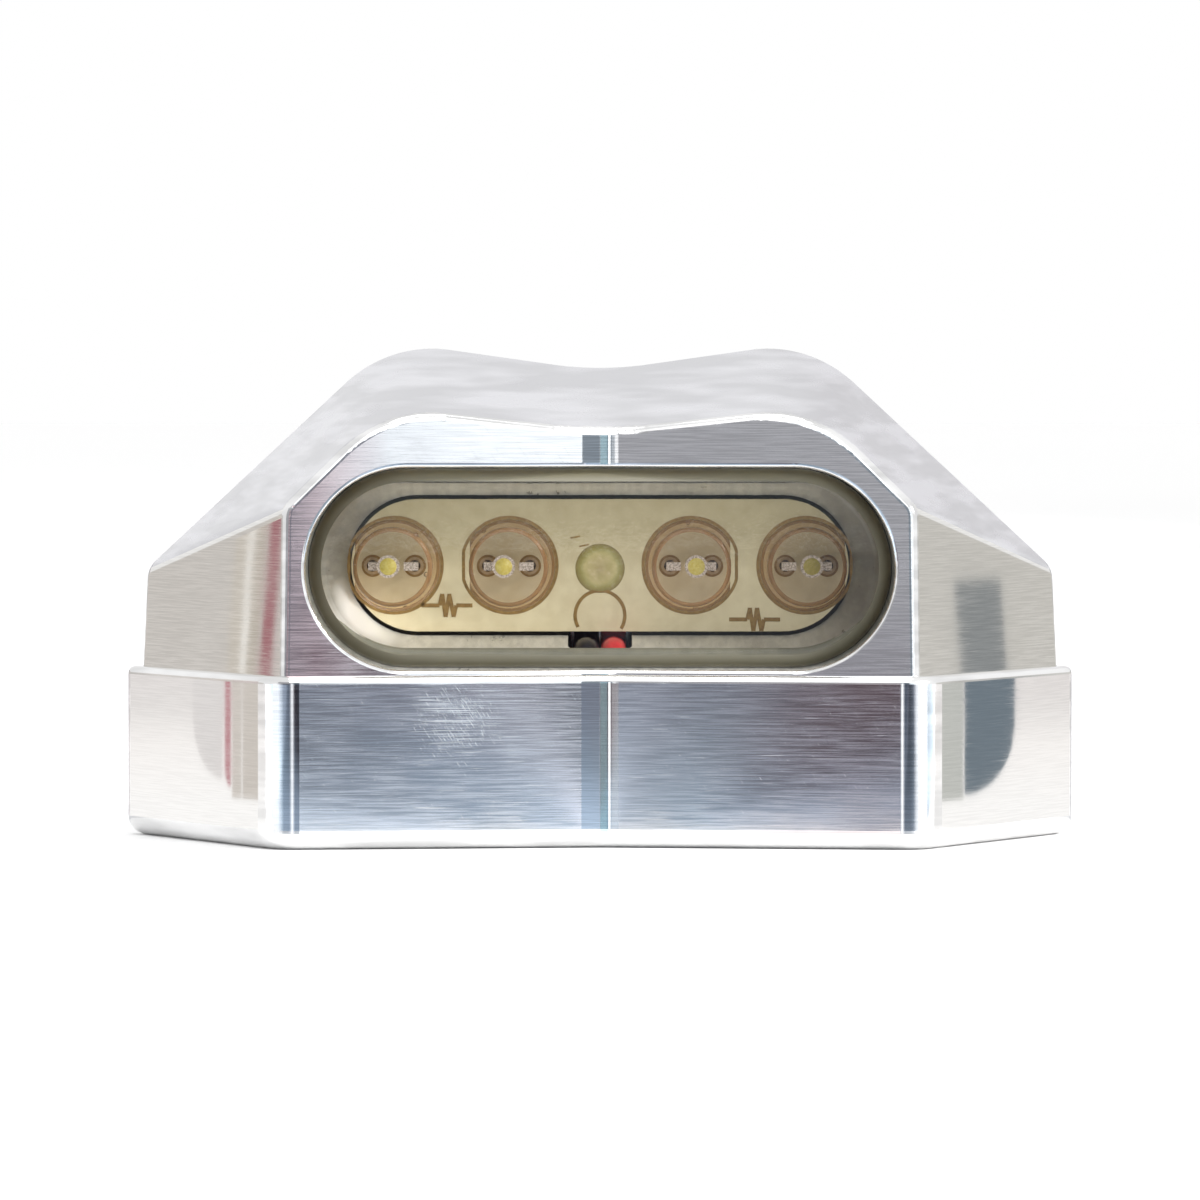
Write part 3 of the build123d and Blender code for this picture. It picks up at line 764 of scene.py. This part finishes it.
tent_cards = [
    ("camera_flag", 0.8, (-8.5, 11.3), (-1.1, 30), (0.27, 0.31, 0.35)),
    ("low_flag_left", 0.82, (-50, -9.8), (-1.1, 5.2), (0.24, 0.22, 0.26)),
    ("low_flag_right", 0.82, (11.3, 50), (-1.1, 0.6), (0.27, 0.215, 0.25)),
    ("corner_flag", 0.78, (11.0, 12.9), (-1.1, 6.3), (0.16, 0.11, 0.14)),
    ("left_card", 0.84, (-50, -9.8), (5.2, 32), (0.46, 0.46, 0.48)),
    ("right_card", 0.84, (11.3, 40), (2, 32), (1.3, 1.36, 1.4)),
    ("back_card_left", 0.84, (-150, -95), (-1.1, 9), (0.70, 0.67, 0.64)),
    ("back_card_right", 0.84, (95, 150), (-1.1, 9), (0.68, 0.665, 0.63)),
    ("back_card_high", 0.84, (150, 176), (9, 28), (0.87, 0.86, 0.87)),
    ("rear_flag_left", 0.84, (-170, -152), (-1.1, 8), (0.24, 0.22, 0.25)),
    ("rear_flag_right", 0.84, (152, 170), (-1.1, 8), (0.2, 0.21, 0.25)),
]
for values in tent_cards:
    card(*values)
flank_start_x, flank_start_y = 20.9, -8.8
flank_run_x, flank_run_y = 8.3, 17.3
card_gap_x, card_gap_y = 41.5, 27.9


def standing_card(name, side, shares, feet, top, colour):
    """A small card beside the lamp, seen in its side facet between two shares of the facet's length.
    Its lower edge rises from the first foot to the second along a quarter of a circle."""
    steps = 16
    points = []
    for step in range(steps + 1):
        part = step / steps
        share = shares[0] + (shares[1] - shares[0]) * part
        foot = feet[0] + (feet[1] - feet[0]) * (1 - math.sqrt(1 - part * part))
        x = side * (flank_start_x + flank_run_x * share + card_gap_x) * mm
        y = (flank_start_y + flank_run_y * share + card_gap_y) * mm
        points += [(x, y, foot * mm), (x, y, top * mm)]
    place_card(name, points, strip_faces(steps), colour, False)


plinth_cards_top = 9
hood_cards_foot = 9.5
side_cards = [
    ("grey_card", 1, (0.016, 0.19), (0.2, 0.2), plinth_cards_top, (0.62, 0.63, 0.6)),
    ("dark_card", 1, (0.2, 0.553), (0.5, 5.0), plinth_cards_top, (0.19, 0.235, 0.275)),
    ("beige_card", -1, (0.0, 0.15), (0.3, 0.3), plinth_cards_top, (0.72, 0.67, 0.62)),
    ("beige_card_far", -1, (0.158, 0.225), (0.3, 0.3), plinth_cards_top, (0.74, 0.69, 0.64)),
    ("red_card", -1, (0.235, 0.275), (1.0, 2.5), plinth_cards_top, (0.6, 0.3, 0.33)),
    ("pale_card", -1, (0.29, 0.5), (1.5, 6.0), plinth_cards_top, (0.86, 0.83, 0.82)),
    ("dark_hood_card", 1, (0.34, 0.667), (hood_cards_foot, hood_cards_foot), 17, (0.3, 0.32, 0.33)),
    ("red_hood_card", -1, (0.118, 0.2), (hood_cards_foot, hood_cards_foot), 34, (0.43, 0.175, 0.2)),
    ("beige_hood_card", -1, (0.225, 0.3), (hood_cards_foot, hood_cards_foot), 34, (0.62, 0.57, 0.5)),
    ("white_hood_card", -1, (0.3, 0.345), (hood_cards_foot, hood_cards_foot), 34, (1.1, 1.08, 1.04)),
    ("beige_hood_card_far", -1, (0.345, 0.43), (hood_cards_foot, hood_cards_foot), 34, (0.7, 0.65, 0.58)),
]
for values in side_cards:
    standing_card(*values)
sheet_height = 0.2 * mm


def floor_sheet(name, corners, strength=1.0):
    """A sheet just over the floor that only the metal shows. Gives the nodes of its finish."""
    points = [(x, y, sheet_height) for x, y in corners]
    sheet = place_card(name, points, [(0, 1, 2, 3)], (1.0, 1.0, 1.0), False)
    tree = sheet.data.materials[0].node_tree
    tree.nodes["Emission"].inputs["Strength"].default_value = strength
    return tree


# The sheet ahead of the lamp fades away from it
sheet_tree = floor_sheet("front_sheet", [(-0.5, -0.8), (0.5, -0.8), (0.5, -0.022), (-0.5, -0.022)], 1.12)
crease_y = -6.9 * mm
sheet_axes = add_node(sheet_tree, "ShaderNodeSeparateXYZ", {"Vector": place_on(sheet_tree)})
sheet_across = sheet_axes.outputs["X"]
sheet_ahead = calc(sheet_tree, "SUBTRACT", crease_y, sheet_axes.outputs["Y"])
sheet_fade = ramp(
    sheet_tree, mapped(sheet_tree, sheet_ahead, 0.013, 0.343),
    [
        (0.0, (1.45, 1.7, 1.9)), (0.1, (1.1, 1.3, 1.48)), (0.25, (0.68, 0.8, 0.9)), (0.5, (0.54, 0.59, 0.67)),
        (1.0, (0.44, 0.47, 0.54)),
    ],
)
# A dark band on it runs ahead from the crease
dark_band = (0.45, 0.53, 0.58)
sheet_turn = calc(sheet_tree, "ARCTAN2", sheet_across, sheet_ahead)
sheet_bands = ramp(
    sheet_tree, mapped(sheet_tree, sheet_turn, math.radians(-25), math.radians(25)),
    [(0.385, (0.86, 0.9, 0.92)), (0.4, dark_band), (0.722, dark_band), (0.73, bright)],
)
# What each half of the front sees, from the crease out to its corner: the right half on the left, and dark
# beyond it
sheet_spread = 0.23
sheet_lead = calc(sheet_tree, "MULTIPLY", sheet_ahead, sheet_spread)
sheet_inset = calc(sheet_tree, "SUBTRACT", sheet_lead, calc(sheet_tree, "ABSOLUTE", sheet_across))
sheet_reach = add_node(sheet_tree, "ShaderNodeClamp", {"Value": sheet_inset, "Min": -8 * mm, "Max": 20 * mm})
sheet_side = calc(sheet_tree, "SIGN", sheet_across)
sheet_facing = calc(sheet_tree, "MULTIPLY", sheet_side, sheet_reach.outputs["Result"])
sheet_halves = ramp(
    sheet_tree, mapped(sheet_tree, sheet_facing, -20 * mm, 20 * mm),
    [
        (0.0, (0.53, 0.39, 0.375)), (0.16, (0.58, 0.445, 0.435)), (0.36, (0.84, 0.9, 0.92)),
        (0.49, (0.84, 0.88, 0.9)), (0.51, (1.6, 1.6, 1.62)), (1.0, (1.65, 1.58, 1.55)),
    ],
)
sheet_beyond = ramp(
    sheet_tree, mapped(sheet_tree, sheet_inset, -60 * mm, 0.0),
    [(0.0, bright), (0.15, (0.42, 0.44, 0.46)), (0.93, (0.36, 0.35, 0.36)), (1.0, (0.52, 0.47, 0.47))],
)
sheet_colour = sheet_fade
for layer in (sheet_bands, sheet_halves, sheet_beyond):
    sheet_colour = tinted(sheet_tree, sheet_colour, layer)
sheet_tree.links.new(sheet_colour, sheet_tree.nodes["Emission"].inputs["Color"])
stripe_reach = (0.012, 0.26)
stripe_height = 0.4 * mm


def floor_stripe(name, start, azimuths, colour):
    """A strip on the floor that widens away from one place on the lamp."""
    points = []
    for azimuth, distances in zip(azimuths, (stripe_reach, stripe_reach[::-1])):
        turn = math.radians(azimuth)
        for distance in distances:
            x, y = start[0] * mm + distance * math.sin(turn), start[1] * mm - distance * math.cos(turn)
            points.append((x, y, stripe_height))
    place_card(name, points, [(0, 1, 2, 3)], colour, False)


floor_stripe("rear_stripe_left", (-29.0, 8.2), (-168, -146), (0.42, 0.37, 0.42))
floor_stripe("rear_stripe_right", (29.0, 8.2), (146, 168), (0.25, 0.28, 0.33))


def fading_sheet(name, corners, reach, tones):
    """A sheet on the floor whose tones change away from the lamp."""
    tree = floor_sheet(name, corners)
    share = mapped(tree, distance_from(tree, (0.0, 0.0, 0.0)), *reach)
    tree.links.new(ramp(tree, share, tones), tree.nodes["Emission"].inputs["Color"])


side_tones = [
    (0.0, (1.16, 1.15, 1.14)), (0.35, (1.12, 1.09, 1.07)), (0.65, (0.92, 0.89, 0.875)), (1.0, (0.9, 0.86, 0.85)),
]
for name, side in (("side_sheet_left", -1), ("side_sheet_right", 1)):
    corners = [(side * 0.036, -0.01), (side * 0.4, -0.01), (side * 0.4, 0.4), (side * 0.036, 0.4)]
    fading_sheet(name, corners, (0.06, 0.3), side_tones)
back_tones = [
    (0.0, (0.7, 0.72, 0.75)), (0.25, (0.82, 0.83, 0.85)), (0.6, (0.72, 0.73, 0.76)), (1.0, (0.86, 0.86, 0.87)),
]
back_corners = [(-0.036, 0.0105), (0.036, 0.0105), (0.036, 0.4), (-0.036, 0.4)]
fading_sheet("back_sheet", back_corners, (0.012, 0.13), back_tones)

floor_reach = 3.0
floor_corners = [(x * floor_reach, y * floor_reach, 0) for x, y in ((-1, -1), (1, -1), (1, 1), (-1, 1))]
floor_mesh = bpy.data.meshes.new("floor")
floor_mesh.from_pydata(floor_corners, [], [(0, 1, 2, 3)])
floor = bpy.data.objects.new("floor", floor_mesh)
bpy.context.scene.collection.objects.link(floor)
floor_paint, _, floor_shader = start_material("floor_paint")
floor_shader.inputs["Base Color"].default_value = (0.995, 0.995, 0.995, 1.0)
floor_shader.inputs["Roughness"].default_value = 0.7
floor.data.materials.append(floor_paint)


def place_light(light, place, target):
    """Puts a light in the studio and turns it to its target."""
    holder = bpy.data.objects.new(light.name, light)
    holder.location = place
    holder.rotation_euler = (Vector(target) - Vector(place)).to_track_quat("-Z", "Y").to_euler()
    bpy.context.scene.collection.objects.link(holder)
    return holder


def soft_light(name, place, size, watts, colour):
    """A square area light that looks at the lamp."""
    light = bpy.data.lights.new(name, "AREA")
    light.size = size
    light.energy = watts
    light.color = colour
    place_light(light, place, (0, 0, axis_z)).visible_camera = False


soft_light("overhead_light", (0.0, -0.1, 0.75), 0.3, 0.9, (1.0, 1.0, 1.0))
soft_light("front_light", (0.0, -0.5, 0.45), 0.35, 0.55, (1.0, 1.0, 1.0))
soft_light("key_light", (0.58, -0.36, 0.38), 0.16, 4.0, (1.0, 0.99, 0.97))
glint = bpy.data.lights.new("glint_light", "SPOT")
glint.energy = 6.5
glint.spot_size = math.radians(0.32)
glint.spot_blend = 0.6
glint.shadow_soft_size = 0.002
place_light(glint, (0.52, -0.34, 0.42), painted_highlight_spot)

world = bpy.data.worlds.new("white_tent")
world.use_nodes = True
bpy.context.scene.world = world
sky_tree = world.node_tree
sky_tree.nodes.clear()
sky = add_node(sky_tree, "ShaderNodeBackground", {"Color": (1.0, 1.0, 1.0, 1.0), "Strength": 1.0})
sky_end = add_node(sky_tree, "ShaderNodeOutputWorld")
sky_tree.links.new(sky.outputs["Background"], sky_end.inputs["Surface"])
bpy.context.scene.view_settings.view_transform = "Standard"


# Camera: a long lens half a metre in front of the lamp,
# level with the lamp's top and looking a little down.
camera_data = bpy.data.cameras.new("camera")
camera_data.sensor_width = 36.0
camera_data.lens = 244.65
camera_tilt = 1.74
camera = bpy.data.objects.new("camera", camera_data)
camera.location = (0.0, -509.5 * mm, 30.6 * mm)
camera.rotation_euler = (math.radians(90 - camera_tilt), 0.0, 0.0)
bpy.context.scene.collection.objects.link(camera)
bpy.context.scene.camera = camera
